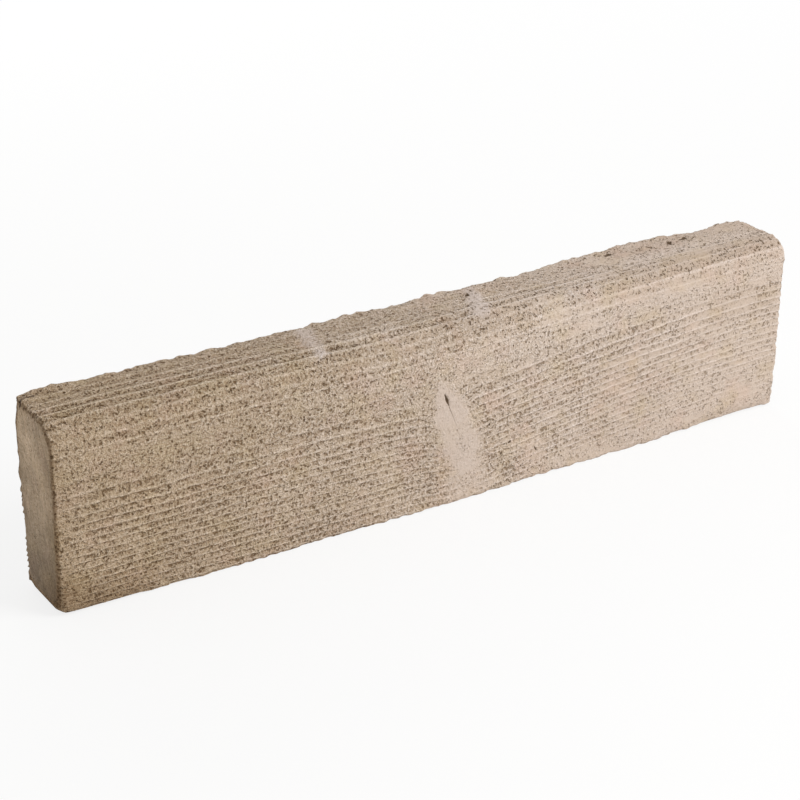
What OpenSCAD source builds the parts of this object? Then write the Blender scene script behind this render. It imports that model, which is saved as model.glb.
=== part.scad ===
// Cast concrete kerb stone with the relief of an old timber: growth-ring
// ridges on both long faces and the top, knots, and hewn arrises.
// X runs along the stone, -Y is the face side and Z is up from the bed.

/* [Stone] */
// Length of the stone from end to end
stone_length = 665; // [500:1:1000]
// Thickness from the face to the back
stone_thickness = 60; // [50:1:100]
// Height above the bed
stone_height = 153; // [140:1:220]

/* [Arrises] */
// Radius of the rounded top arris on the face side
top_round = 22; // [10:1:26]
// Radius of the two long arrises at the bed
bed_round = 3; // [1:0.5:8]
// Radius of the four upright arrises at the ends
end_round = 2; // [1:0.5:6]
// Radius of the top corners at the ends
top_corner_round = 3; // [1:0.5:10]
// Radius of the bed corner at the left end, the most worn one
left_foot_round = 7; // [1:0.5:15]
// Radius of the bed corner at the right end
right_foot_round = 5; // [1:0.5:15]

/* [Growth rings] */
// Height of the timber's pith below the top of the stone
pith_drop = 39; // [30:1:50]
// Depth of the pith behind the face
pith_depth = 34; // [25:1:40]
// Radius of the innermost ring that stands out as a ridge
first_ring = 38; // [36:0.5:50]
// Distance from one ring to the next
ring_pitch = 5.1; // [4:0.1:9]
// Distance along the outline from the pith's level up to the first top ridge
heart_band = 16; // [15:1:30]
// Distance between ridges over the rounded arris and the top
top_pitch = 9; // [6:0.5:14]
// Width of a ridge's crest
crest_width = 1.4; // [0.8:0.1:3]
// Width of the steep step under each crest
step_width = 1; // [0.4:0.1:2]
// Depth of the grooves between the ridges
groove_depth = 1.2; // [0.5:0.1:2]
// Smooth margin beside the arrises, with no groove
margin = 3; // [2:0.5:8]

/* [Face knot] */
// Middle of the face knot, right of the middle of the stone
knot_x = 3; // [-100:1:100]
// Height of the knot's middle above the bed
knot_z = 66; // [50:1:75]
// Length of the knot between the middles of its two round ends
knot_span = 70; // [40:1:80]
// Radius of the knot's narrow upper end
knot_tip = 8; // [5:1:15]
// Radius of the knot's broad lower end
knot_heel = 17; // [10:1:22]
// Lean of the knot's axis from upright, its foot to the right
knot_lean = 18; // [0:1:30]
// Height of the knots above the crests of the ridges
knot_rise = 0.4; // [0.2:0.1:2]

/* [Shake in the knot] */
// Length of the drying crack
shake_length = 30; // [10:1:40]
// Width of the crack at its widest
shake_width = 3; // [1:0.5:6]
// Depth of the crack
shake_depth = 5; // [2:0.5:10]

/* [Top knots] */
// Places of the two top knots along the stone, from its middle
top_knot_x = [-108, 40]; // [-240:1:240]
// Width of a top knot along the stone
top_knot_width = 18; // [8:1:30]
// Reach of a top knot from the back towards the face
top_knot_reach = 36; // [20:1:38]

/* [Hewn back arris] */
// Distance between the bites along the top back arris
bite_pitch = 42; // [25:1:80]
// Radius of the tool that left the bites
bite_radius = 90; // [40:1:150]
// Depth of the shallowest bite
bite_least = 1; // [0.5:0.1:3]
// Depth of the deepest bite
bite_most = 3; // [1:0.1:5]

/* [Hidden] */
$fn = 96;

face_y = -stone_thickness / 2;
back_y = stone_thickness / 2;
pith_z = stone_height - pith_drop;
pith_back = stone_thickness - pith_depth;

// Lengths along the outline from the foot of the face, up and over the top
front_end = stone_height - top_round;
arc_end = front_end + PI / 2 * top_round;
top_end = arc_end + stone_thickness - top_round;

// Room for cuts to run clear of the stone
clear = 10;
// Depth to which a knot is rooted below the grooves
knot_root = 4;
// Straight steps in each round end of a knot
arc_steps = 16;

function ring_radius(k) = first_ring + k * ring_pitch;

// Height of ring k above or below the pith on a face that lies off from the pith
function ring_reach(k, off) = sqrt(pow(ring_radius(k), 2) - off * off);

// Number of rings that cross a face between the pith's level and a reach from it
function ring_count(reach, off) =
    floor((norm([reach, off]) - first_ring) / ring_pitch) + 1;

// Point of the outline at distance s along it, sunk by a depth
function outline_point(s, depth) =
    s < front_end ? [face_y + depth, s] :
    s < arc_end ?
        let(a = (s - front_end) / top_round * 180 / PI)
        [face_y + top_round - (top_round - depth) * cos(a), front_end + (top_round - depth) * sin(a)] :
    s < top_end ? [face_y + top_round + s - arc_end, stone_height - depth] :
    [back_y - depth, stone_height - (s - top_end)];

// Crests on the face below the pith, from the foot up
face_crests = [
    for (k = [ring_count(pith_z - margin, pith_depth) - 1 : -1 : 0])
        pith_z - ring_reach(k, pith_depth)
];

// Crests from above the pith over the rounded arris and across the top
top_crests = [for (s = [pith_z + heart_band : top_pitch : top_end - margin]) s];

// Crests on the back, from the pith's level down
back_crests = [
    for (k = [0 : ring_count(pith_z - margin, pith_back) - 1])
        top_end + pith_drop + ring_reach(k, pith_back)
];

// A ring rises slowly to its crest and drops off steeply beyond it, away from the pith.
// Between two crests that gives one deep point, close under the crest that is nearer the pith.
function grooves(crests, pith_first) = [
    for (i = [0 : len(crests) - 2])
        let(low = crests[i] + crest_width / 2,
            high = crests[i + 1] - crest_width / 2,
            step = min(step_width, (high - low) / 2))
        each [
            outline_point(low, 0),
            outline_point(pith_first ? low + step : high - step, groove_depth),
            outline_point(high, 0)
        ]
];

module timber_section() {
    polygon(concat(
        [[face_y, 0]],
        grooves(face_crests, false),
        grooves(top_crests, false),
        [[back_y, stone_height]],
        grooves(back_crests, true),
        [[back_y, 0]]
    ));
}

// What a rounded corner takes off: the corner of a square outside a circle
module corner_waste(radius) {
    difference() {
        translate([-clear, -clear]) square(radius + clear);
        translate([radius, radius]) circle(radius);
    }
}

// The ridged section drawn along the stone
module ridged_block() {
    translate([-stone_length / 2, 0, 0])
        rotate([90, 0, 90])
            linear_extrude(stone_length) timber_section();
}

// Points of an arc about a centre, from one angle to another
function arc_points(centre, radius, start, end) = [
    for (i = [0 : arc_steps])
        let(a = start + (end - start) * i / arc_steps)
        centre + radius * [cos(a), sin(a)]
];

// A long drop round two circles, the narrow one up, with its middle at the origin
module drop_outline(span, tip, heel) {
    lean = asin((heel - tip) / span);
    polygon(concat(
        arc_points([0, span / 2], tip, lean, 180 - lean),
        arc_points([0, -span / 2], heel, 180 - lean, 360 + lean)
    ));
}

// Lays an outline on the face of the stone and gives it a depth inwards
module on_face(rise, depth) {
    translate([0, face_y + depth, 0])
        rotate([90, 0, 0])
            linear_extrude(depth + rise) children();
}

module face_knot() {
    on_face(knot_rise, groove_depth + knot_root)
        translate([knot_x, knot_z])
            rotate(knot_lean) drop_outline(knot_span, knot_tip, knot_heel);
}

// The drying crack: a needle along the knot's axis, from its tip downwards
module knot_shake() {
    on_face(knot_rise + clear, shake_depth)
        translate([knot_x, knot_z])
            rotate(knot_lean)
                translate([0, knot_span / 2])
                    polygon([
                        [0, 0],
                        [-shake_width / 2, -shake_length / 3],
                        [0, -shake_length],
                        [shake_width / 2, -shake_length / 3]
                    ]);
}

module top_knot(x) {
    translate([x, back_y - top_knot_reach + top_knot_width / 2, stone_height - groove_depth - knot_root])
        linear_extrude(groove_depth + knot_root + knot_rise) {
            circle(d = top_knot_width);
            translate([-top_knot_width / 2, 0])
                square([top_knot_width, top_knot_reach - top_knot_width / 2]);
        }
}

// Shallow bites along the top back arris; the golden ratio keeps their depths uneven
module hewn_bites() {
    count = floor(stone_length / bite_pitch);
    golden = (sqrt(5) - 1) / 2;
    for (i = [0 : count - 1]) {
        share = i * golden - floor(i * golden);
        bite = bite_least + share * (bite_most - bite_least);
        translate([(i + 0.5) * stone_length / count - stone_length / 2, back_y, stone_height])
            rotate([-45, 0, 0])
                translate([0, 0, bite_radius - bite])
                    rotate([90, 0, 0])
                        cylinder(r = bite_radius, h = 4 * bite_most + 2 * clear, center = true);
    }
}

// Rounds the two long arrises at the bed
module bed_waste() {
    for (side = [0, 1])
        mirror([0, side, 0])
            translate([-stone_length / 2 - clear, face_y, 0])
                rotate([90, 0, 90])
                    linear_extrude(stone_length + 2 * clear) corner_waste(bed_round);
}

// Rounds the four upright arrises at the ends
module end_waste() {
    for (end = [0, 1], side = [0, 1])
        mirror([end, 0, 0])
            mirror([0, side, 0])
                translate([-stone_length / 2, face_y, -clear])
                    linear_extrude(stone_height + 2 * clear) corner_waste(end_round);
}

// Rounds the four corners of the stone as seen from the face
module corner_wear() {
    foot_rounds = [left_foot_round, right_foot_round];
    for (end = [0, 1])
        mirror([end, 0, 0])
            translate([-stone_length / 2, back_y + clear, 0])
                rotate([90, 0, 0])
                    linear_extrude(stone_thickness + 2 * clear) {
                        corner_waste(foot_rounds[end]);
                        translate([0, stone_height]) mirror([0, 1]) corner_waste(top_corner_round);
                    }
}

module kerb_stone() {
    color("#b3a289")
    difference() {
        union() {
            ridged_block();
            face_knot();
            for (x = top_knot_x) top_knot(x);
        }
        knot_shake();
        hewn_bites();
        bed_waste();
        end_waste();
        corner_wear();
    }
}

kerb_stone();
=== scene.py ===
import math

import bmesh
import bpy
from mathutils import Matrix, Vector


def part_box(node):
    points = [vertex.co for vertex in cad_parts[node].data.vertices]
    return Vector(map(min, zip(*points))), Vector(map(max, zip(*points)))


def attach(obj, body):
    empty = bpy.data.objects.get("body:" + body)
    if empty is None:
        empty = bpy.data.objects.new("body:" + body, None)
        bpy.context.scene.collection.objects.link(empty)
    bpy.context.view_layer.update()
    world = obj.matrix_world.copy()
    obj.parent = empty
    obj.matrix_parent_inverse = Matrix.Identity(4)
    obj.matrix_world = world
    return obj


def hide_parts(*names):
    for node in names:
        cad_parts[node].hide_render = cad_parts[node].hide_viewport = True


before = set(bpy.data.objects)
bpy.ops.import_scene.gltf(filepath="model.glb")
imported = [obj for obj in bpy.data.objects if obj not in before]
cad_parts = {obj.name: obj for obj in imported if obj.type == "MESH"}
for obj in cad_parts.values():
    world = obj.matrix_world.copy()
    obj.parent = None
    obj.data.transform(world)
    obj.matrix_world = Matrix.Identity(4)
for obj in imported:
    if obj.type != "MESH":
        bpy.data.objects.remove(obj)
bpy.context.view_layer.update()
print("frame loaded")

mm = 0.001
quarter = math.pi / 2


def hexColour(text):
    # sRGB hex to the linear values that the shaders take
    parts = [int(text[i:i + 2], 16) / 255 for i in (1, 3, 5)]
    return [c / 12.92 if c <= 0.04045 else ((c + 0.055) / 1.055) ** 2.4 for c in parts] + [1]


def addNode(tree, kind, inputs=None, **settings):
    node = tree.nodes.new(kind)
    for name, value in settings.items():
        setattr(node, name, value)
    for key, value in (inputs or {}).items():
        if isinstance(value, bpy.types.Node):
            value = value.outputs[0]
        if isinstance(value, bpy.types.NodeSocket):
            tree.links.new(value, node.inputs[key])
        else:
            node.inputs[key].default_value = value
    return node


def smooth(value, start, full):
    # Eases from 0 at the start to 1 where it is full
    t = min(max((value - start) / (full - start), 0), 1)
    return t * t * (3 - 2 * t)


def bell(value, middle, reach):
    return math.exp(-((value - middle) / reach) ** 2)


# The stone's sizes in millimetres. The outer three come from the frame, and the rounds and rings are the
# part's. The pith lies 1 mm lower here, with its heart band, so that the crests fall as in the photo, and
# the top back arris has a small round of its own.
low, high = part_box("kerb_stone")
stone = {
    "knotRise": 0.4,
    "topRound": 22,
    "bedRound": 3,
    "backRound": 2,
    "pithDrop": 40,
    "pithDepth": 34,
    "firstRing": 38,
    "ringPitch": 5.1,
    "ringCount": 16,
    "heartTop": 129,            # first ridge above the smooth heart band
    "topPitch": 9,
    # How strongly each ridge stands out: the one under the heart band, the faint ones in it with
    # their places, those of the top, and the first few down the back
    "underHeart": 0.5,
    "heartLines": [(107.5, 0.2), (116, 0.13), (123, 0.35)],
    "topWeights": [0.6, 0.4, 0.5, 1.1, 1.15, 0.6, 0.5, 0.3, 0.25],
    "backWeights": [0.5, 0, 0.35, 0.7],
}
stone["length"] = (high.x - low.x) / mm
stone["thickness"] = (high.y - low.y) / mm - stone["knotRise"]
stone["height"] = (high.z - low.z) / mm - stone["knotRise"]


def outlinePoint(distance):
    # Walks round the section from the front of the bed, up the face, over the top and down the back;
    # gives the point there and the way out of the stone
    size = stone
    walk = [
        (size["bedRound"], True),
        (size["height"] - size["bedRound"] - size["topRound"], False),
        (size["topRound"], True),
        (size["thickness"] - size["topRound"] - size["backRound"], False),
        (size["backRound"], True),
        (size["height"] - size["backRound"] - size["bedRound"], False),
        (size["bedRound"], True),
        (size["thickness"] - 2 * size["bedRound"], False),
    ]
    spot = Vector((-size["thickness"] / 2 + size["bedRound"], 0))
    ahead = Vector((-1, 0))
    for reach, isArc in walk:
        whole = reach * quarter if isArc else reach
        step = min(distance, whole)
        if isArc:
            turn = step / reach
            inward = Vector((ahead.y, -ahead.x))
            spot = spot + reach * (math.sin(turn) * ahead + (1 - math.cos(turn)) * inward)
            ahead = math.cos(turn) * ahead + math.sin(turn) * inward
        else:
            spot = spot + step * ahead
        distance -= step
        if distance <= 0:
            break
    return spot, Vector((-ahead.y, ahead.x))


def ringReach(depth, count):
    # How far above or below the pith each ring meets a face that lies this deep from it
    radii = [stone["firstRing"] + k * stone["ringPitch"] for k in range(count)]
    return [math.sqrt(radius ** 2 - depth ** 2) for radius in radii]


def crestLines():
    # Distance up the face and over the top of each ridge's crest, with the ridge's weight
    pithZ = stone["height"] - stone["pithDrop"]
    reach = ringReach(stone["pithDepth"], stone["ringCount"])
    lines = [(pithZ - r, 1) for r in reach[:0:-1]]
    lines += [(pithZ - reach[0], stone["underHeart"])] + stone["heartLines"]
    for i, weight in enumerate(stone["topWeights"]):
        lines.append((stone["heartTop"] + i * stone["topPitch"], weight))
    return lines


def ringAt(lines, s):
    # Ring number and ridge weight at a distance; the rings go on under the bed
    if s < lines[0][0]:
        return (s - lines[0][0]) / stone["ringPitch"], 1
    for i, ((s0, weight), (s1, _)) in enumerate(zip(lines, lines[1:])):
        if s < s1:
            return i + (s - s0) / (s1 - s0), weight
    return len(lines) - 1, 0


# How the growth rings run, in millimetres: they dip into the knot from the left and climb from it to
# the right end. A pair says where an effect starts to change and where the change is full, along the
# stone for "dipEnds" and up the face and over the top for the others.
bend = {
    "climb": 24,
    "climbFrom": 28,
    "climbLength": 305,
    "heartEase": 0.65,          # they climb less over the heart
    "heartOver": (108, 140),
    "climbFades": (150, 170),
    "dip": 6,
    "dipPlace": -22,
    "dipReach": 24,
    "dipEnds": (-15, 25),
    "dipAtFoot": 0.3,
    "dipGrows": (15, 55),
    "dipFades": (95, 120),
    "lull": 1.3,                # a slight sag left of the dip
    "lullPlace": -120,
    "lullReach": 60,
    "lullFades": (75, 95),
    "topSway": 3.2,             # and one of the top's rings, between its two knots
    "topPlace": -68,
    "topReach": 64,
    "topOver": (115, 135),
}


def bentBy(x, s):
    # How far the rings stand above their place, in millimetres
    share = min(max((x - bend["climbFrom"]) / bend["climbLength"], 0), 1)
    climb = bend["climb"] * math.sin(share * quarter)
    climb *= (1 - bend["heartEase"] * smooth(s, *bend["heartOver"])) * (1 - smooth(s, *bend["climbFades"]))
    dip = bend["dip"] * math.exp((min(x, bend["dipEnds"][1]) - bend["dipPlace"]) / bend["dipReach"])
    dip *= bend["dipAtFoot"] + (1 - bend["dipAtFoot"]) * smooth(s, *bend["dipGrows"])
    dip *= (1 - smooth(s, *bend["dipFades"])) * (1 - smooth(x, *bend["dipEnds"]))
    sway = bend["topSway"] * bell(x, bend["topPlace"], bend["topReach"]) * smooth(s, *bend["topOver"])
    lull = bend["lull"] * bell(x, bend["lullPlace"], bend["lullReach"]) * (1 - smooth(s, *bend["lullFades"]))
    return climb - dip - sway - lull


# How strongly the ridges show, on top of their weights. A step adds its change from one place along
# the stone to another. A patch scales by 1 + its change, where all of its ramps along the stone and
# up the face are full; a ramp says where it starts and where it is full.
ridgeShares = {
    "face": {
        "start": 0.85,
        "steps": [(-0.1, (-130, -90)), (-0.05, (-30, 30)), (-0.2, (170, 270))],
        "patches": [
            {"change": -0.4, "always": -0.05, "along": [(130, 240)], "up": [(56, 40)]},
            {"change": -1, "along": [(40, 120)], "up": [(20, 8)]},
            {"change": -0.5, "along": [(-300, -330)], "up": []},
        ],
    },
    "top": {
        "start": 1.0,
        "steps": [(-0.2, (-120, -60)), (-0.2, (30, 80)), (-0.2, (140, 200))],
        "patches": [
            {"change": -0.5, "along": [(-270, -310)], "up": [(152, 143)]},
            {"change": -0.6, "along": [(-150, -60)], "up": [(168, 178)]},
            {"change": -0.45, "along": [(-180, -140), (50, 20)], "up": [(157, 162)]},
            {"change": 0.9, "along": [(110, 200)], "up": [(140, 145), (157, 153)]},
            {"change": -0.45, "along": [(120, 160)], "up": [(156, 162)]},
        ],
    },
    "weakSpot": {"loss": 0.5, "along": (-50, 30), "up": (88, 7)},    # middle and reach, left of the knot
    "crownOver": (118, 130),    # the face gives way to the crown
    "steepUpper": {"more": 0.6, "along": (100, 250), "up": (136, 142)},    # at the right, past the crown
}


def ridgeShare(side, x, s):
    share = side["start"] + sum(change * smooth(x, *span) for change, span in side["steps"])
    for patch in side["patches"]:
        along = math.prod(smooth(x, *ramp) for ramp in patch["along"])
        up = math.prod(smooth(s, *ramp) for ramp in patch["up"])
        share *= 1 + (patch.get("always", 0) + patch["change"] * along) * up
    return share


# Where the mesh has its rows and stations, in millimetres or in shares of a ridge
meshing = {
    "station": 2.2,
    "fineStation": 0.9,         # beside the crack in the knot
    "fineZone": (-11, 7),
    "endStations": [0, 0.25, 0.8, 1.6, 3, 4.8],
    "capLoops": [0.08, 0.2, 0.36, 0.54, 0.74, 0.92],    # on an end, from its rim inwards
    "ridgeRows": [0, 0.2, 0.42, 0.64, 0.84, 0.93],
    "wideRidge": 10,            # from this width on, a ridge has even rows
    "wideRows": 12,
    "backRows": [0, 0.13, 0.42, 0.72],
    "backHeartRows": 14,
    "footRows": 4,              # round the front of the bed
    "cornerRows": 3,            # round the top back arris and the back of the bed
    "bedRows": 6,
    "cornerGap": 0.5,           # between the last row of the top and that arris
    "footGap": 3,               # no ridge of the back this close to the bed's round
    "bedSkin": 0.01,            # what is no higher than this is on the bed and stays flat
    "backRing": 40,             # ring number at the top of the back, past all the face's
}


def sectionRows():
    # One row of the mesh at each distance round the section: (distance, ring number, ridge weight);
    # on the face and top the ring follows from the bend of the rings, so none is given
    size = stone
    footTurn = size["bedRound"] * (quarter - 1)
    topStart = size["height"] - size["topRound"]
    topEnd = topStart + size["topRound"] * quarter + size["thickness"] - size["topRound"]
    corner = topEnd - size["backRound"] + footTurn
    bedTurn = size["bedRound"] * quarter
    backTurn = size["backRound"] * quarter
    rows = [(bedTurn * i / meshing["footRows"], None, 0) for i in range(meshing["footRows"])]
    lines = [s for s, _ in crestLines()]
    wideSteps = [j / meshing["wideRows"] for j in range(meshing["wideRows"])]
    for s0, s1 in zip(lines, lines[1:]):
        steps = meshing["ridgeRows"] if s1 - s0 < meshing["wideRidge"] else wideSteps
        rows += [(footTurn + s0 + f * (s1 - s0), None, 0) for f in steps]
    rows = [row for row in rows if row[0] < corner - meshing["cornerGap"]]
    cornerRows = meshing["cornerRows"]
    rows += [(corner + backTurn * i / cornerRows, None, 0) for i in range(cornerRows)]

    # Down the back the ring number falls again, so that each crest keeps its steep side downwards
    backStart = corner + backTurn
    backTop = size["height"] - size["backRound"]
    pithZ = size["height"] - size["pithDrop"]
    lowest = size["bedRound"] + meshing["footGap"]
    reach = ringReach(size["thickness"] - size["pithDepth"], 2 * size["ringCount"])
    levels = [backTop, pithZ + reach[0]] + [pithZ - r for r in reach if pithZ - r > lowest]
    heartSteps = [j / meshing["backHeartRows"] for j in range(meshing["backHeartRows"])]
    for i, (z0, z1) in enumerate(zip(levels, levels[1:])):
        steps = heartSteps if i == 1 else meshing["backRows"]
        weight = size["backWeights"][i] if i < len(size["backWeights"]) else 1
        down = backStart + backTop - z0
        rows += [(down + f * (z0 - z1), meshing["backRing"] - i - f, weight) for f in steps]
    lastRing = meshing["backRing"] + 1 - len(levels)
    rows.append((backStart + backTop - levels[-1], lastRing, 0))
    backFoot = backStart + backTop - size["bedRound"]
    rows += [(backFoot + bedTurn * i / cornerRows, lastRing - 1, 0) for i in range(cornerRows + 1)]
    bed = size["thickness"] - 2 * size["bedRound"]
    rows += [(backFoot + bedTurn + bed * i / meshing["bedRows"], 0, 0) for i in range(1, meshing["bedRows"])]
    marks = {
        "footTurn": footTurn,
        "foot": bedTurn / 2,
        "nose": footTurn + topStart + size["topRound"] * quarter / 2,
        "corner": corner + backTurn / 2,
        "heel": backFoot + bedTurn / 2,
        "girth": backFoot + bedTurn + bed,
    }
    return rows, marks


def stations():
    half = stone["length"] / 2
    edge = meshing["endStations"]
    fineFrom, fineTo = meshing["fineZone"]
    xs = [-half + e for e in edge]
    while xs[-1] < half - edge[-1] - meshing["station"]:
        isFine = fineFrom < xs[-1] < fineTo
        xs.append(xs[-1] + meshing["fineStation" if isFine else "station"])
    return xs + [half - e for e in edge[::-1]]


# The ends, in millimetres; a pair of heights says where a change starts and where it is full
ends = {
    "round": 2,
    "footWear": 3,              # the left end's arris is worn rounder towards the foot
    "footWearOver": (70, 0),
    "backWear": 3,              # and at the back of its top
    "backWearOver": (130, 150),
    "sharpShare": 0.3,          # the right end keeps its full round at mid height only
    "fullAbove": (45, 60),
    "fullBelow": (110, 95),
    "topCorner": 3,
    "leftFoot": 7,
    "rightFoot": 2,             # less than in the part, as in the photo
    "cornerReach": 40,          # height over which the round of a corner fades
}

# Wear along four arrises: the front of the bed (foot), the top back one (corner), the rounded one (nose)
# and the back of the bed (heel). Each point is a place along the stone, and how far the arris has drawn
# back there, or below zero how far it stands out.
wear = {
    "foot": [(-332, 3.6), (-310, 2.8), (-280, 2.3), (-250, 1.4), (-210, 0.2), (-190, -0.7), (-150, -0.6),
             (-110, 0.1), (-70, -0.3), (-40, -1.9), (50, -1.9), (80, -0.8), (140, -0.7), (200, -0.9),
             (230, 0.8), (270, 2), (300, 2.5), (332, 1.8)],
    "corner": [(-332, 0), (-320, -1.2), (-300, -2), (-284, -0.4), (-270, -0.6), (-250, 0.9), (-220, 0.4),
               (-190, 1), (-130, 0.8), (-100, 2), (-70, 0.4), (-40, 1.1), (-10, 2.4), (15, 0.4), (50, 2.4),
               (80, 0.7), (110, 1.4), (140, -0.8), (170, -0.2), (200, -2.2), (230, -1.7), (260, 0.1),
               (290, 2.6), (308, -0.4), (332, 2.4)],
    "nose": [(-332, 0), (0, 0), (180, -2.2), (332, -2.9)],
    "heel": [(-332, 2.4), (-300, 1.4), (-250, 0), (332, 0)],
}
wearReach = {"foot": 6, "corner": 5, "nose": 12, "heel": 6}     # round the section

# Raggedness of the hewn arrises: its share on each, and how far it reaches
hewn = {
    "cornerReach": 6,
    "footShare": 0.8,
    "frontEndShare": 0.5,
    "backEndShare": 1.1,
    "endReach": 12,
    "ridgesClear": (1, 5),      # the ridges die out this close to the top back arris
}


def roundOff(radius, distance):
    # How far a round of this radius has drawn back at a distance from its end
    if distance >= radius:
        return 0
    return radius - math.sqrt(radius ** 2 - (radius - distance) ** 2)


def wornBack(name, x):
    # How far an arris has drawn back at a place, eased from point to point
    line = wear[name]
    for (x0, w0), (x1, w1) in zip(line, line[1:]):
        if x <= x1:
            return w0 + (w1 - w0) * smooth(x, x0, x1)
    return line[-1][1]


def makeBlank():
    # The plain cast block, with the mesh rows laid along the growth rings
    size = stone
    half = size["length"] / 2
    rows, marks = sectionRows()
    outline = [outlinePoint(row[0]) for row in rows]
    lines = crestLines()
    verts = []
    data = {name: [] for name in ("ring", "ridged", "crown", "edge", "skin", "cap")}

    def footWeight(distance):
        # 1 on the front arris of the bed, fading up the face and under the stone
        around = min(abs(distance - marks["foot"]), marks["girth"] - distance + marks["foot"])
        return bell(around, 0, wearReach["foot"])

    def wornAt(name, distance, x):
        return bell(distance, marks[name], wearReach[name]) * wornBack(name, x)

    def ridgeAt(x, s):
        # Ring number, strength of the ridge, and 0 on the face to 1 on the crown, or past 1 at the
        # right, where the steep side is the upper one
        ring, ridged = ringAt(lines, s - bentBy(x, s))
        crown = smooth(s, *ridgeShares["crownOver"])
        weak = ridgeShares["weakSpot"]
        onFace = ridgeShare(ridgeShares["face"], x, s)
        onFace *= 1 - weak["loss"] * bell(x, *weak["along"]) * bell(s, *weak["up"])
        onTop = ridgeShare(ridgeShares["top"], x, s)
        ridged *= onFace + (onTop - onFace) * crown
        steep = ridgeShares["steepUpper"]
        crown += steep["more"] * smooth(x, *steep["along"]) * smooth(s, *steep["up"])
        return ring, ridged, crown

    def keepData(index, x, isCap):
        distance, ring, ridged = rows[index]
        (y, z), _ = outline[index]
        crown = 0
        if ring is None:
            ring, ridged, crown = ridgeAt(x, distance - marks["footTurn"])
        fromCorner = abs(distance - marks["corner"])
        endShare = hewn["backEndShare"] if y > 0 else hewn["frontEndShare"]
        edge = bell(fromCorner, 0, hewn["cornerReach"]) + hewn["footShare"] * footWeight(distance)
        edge += endShare * smooth(half - abs(x), hewn["endReach"], 0)
        data["ring"].append(ring)
        data["ridged"].append(0 if isCap else ridged * smooth(fromCorner, *hewn["ridgesClear"]))
        data["crown"].append(crown)
        data["edge"].append(0 if isCap else edge)
        data["skin"].append(1 if z > meshing["bedSkin"] else 0)
        data["cap"].append(1 if isCap else 0)

    def place(index, x, towardsSpine):
        distance = rows[index][0]
        (y, z), (outY, outZ) = outline[index]
        worn = footWeight(distance) * wornBack("foot", x)
        worn += wornAt("corner", distance, x) + wornAt("nose", distance, x)
        heel = wornAt("heel", distance, x)
        y -= outY * worn + heel
        z = max(z - outZ * worn, 0) + heel
        fromEnd = half - abs(x)
        if x < 0:
            arrisRound = ends["round"] + ends["footWear"] * smooth(z, *ends["footWearOver"])
            arrisRound += ends["backWear"] * smooth(z, *ends["backWearOver"]) if y > 0 else 0
        else:
            full = smooth(z, *ends["fullAbove"]) * smooth(z, *ends["fullBelow"])
            arrisRound = ends["round"] * (ends["sharpShare"] + (1 - ends["sharpShare"]) * full)
        y -= y / (size["thickness"] / 2) * roundOff(arrisRound, fromEnd)
        foot = ends["leftFoot"] if x < 0 else ends["rightFoot"]
        nearTop = smooth(z, size["height"] - ends["cornerReach"], size["height"])
        z -= roundOff(ends["topCorner"], fromEnd) * nearTop
        z += roundOff(foot, fromEnd) * smooth(z, ends["cornerReach"], 0)
        spineZ = min(max(z, size["thickness"] / 2), size["height"] - size["thickness"] / 2)
        y -= y * towardsSpine
        z += (spineZ - z) * towardsSpine
        verts.append((x * mm, y * mm, z * mm))
        keepData(index, x, towardsSpine > 0)

    loops = [(-half, k) for k in meshing["capLoops"][::-1]]
    loops += [(x, 0) for x in stations()]
    loops += [(half, k) for k in meshing["capLoops"]]
    count = len(rows)
    for x, k in loops:
        for i in range(count):
            place(i, x, k)
    faces = []
    for j in range(len(loops) - 1):
        for i in range(count):
            n = (i + 1) % count
            faces.append((j * count + i, (j + 1) * count + i, (j + 1) * count + n, j * count + n))
    faces.append(tuple(range(count)))
    faces.append(tuple(range((len(loops) - 1) * count, len(loops) * count))[::-1])
    mesh = bpy.data.meshes.new("kerbStone")
    mesh.from_pydata(verts, [], faces)
    for name, values in data.items():
        mesh.attributes.new(name, "FLOAT", "POINT").data.foreach_set("value", values)
    shape = bmesh.new()
    shape.from_mesh(mesh)
    bmesh.ops.triangulate(shape, faces=[f for f in shape.faces if len(f.verts) > 4])
    bmesh.ops.recalc_face_normals(shape, faces=shape.faces)
    shape.to_mesh(mesh)
    shape.free()
    blank = bpy.data.objects.new("kerbStone", mesh)
    bpy.context.scene.collection.objects.link(blank)
    print("blank:", count, "rows,", len(loops), "loops,", len(mesh.polygons), "faces")
    return blank


def drop(start, startRadius, end, endRadius, **more):
    # A drop between two round ends, in millimetres
    return {"start": start, "startRadius": startRadius, "end": end, "endRadius": endRadius, **more}


def dropDistance(tree, point, shape):
    # Signed distance from a drop, in metres; works in geometry and in shader trees
    start = Vector(shape["start"]) * mm
    along = Vector(shape["end"]) * mm - start
    counts = shape.get("counts", (1, 1, 1))
    away = addNode(tree, "ShaderNodeVectorMath", {0: point, 1: start}, operation="SUBTRACT")
    away = addNode(tree, "ShaderNodeVectorMath", {0: away, 1: counts}, operation="MULTIPLY")
    dot = addNode(tree, "ShaderNodeVectorMath", {0: away, 1: along}, operation="DOT_PRODUCT")
    share = addNode(tree, "ShaderNodeMath", {0: dot.outputs["Value"], 1: along.length_squared},
                    operation="DIVIDE", use_clamp=True)
    foot = addNode(tree, "ShaderNodeVectorMath", {0: along, "Scale": share}, operation="SCALE")
    gap = addNode(tree, "ShaderNodeVectorMath", {0: away, 1: foot}, operation="DISTANCE")
    radius = addNode(tree, "ShaderNodeMapRange", {
        0: share, 3: shape["startRadius"] * mm, 4: shape["endRadius"] * mm})
    return addNode(tree, "ShaderNodeMath", {0: gap.outputs["Value"], 1: radius}, operation="SUBTRACT")


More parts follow.
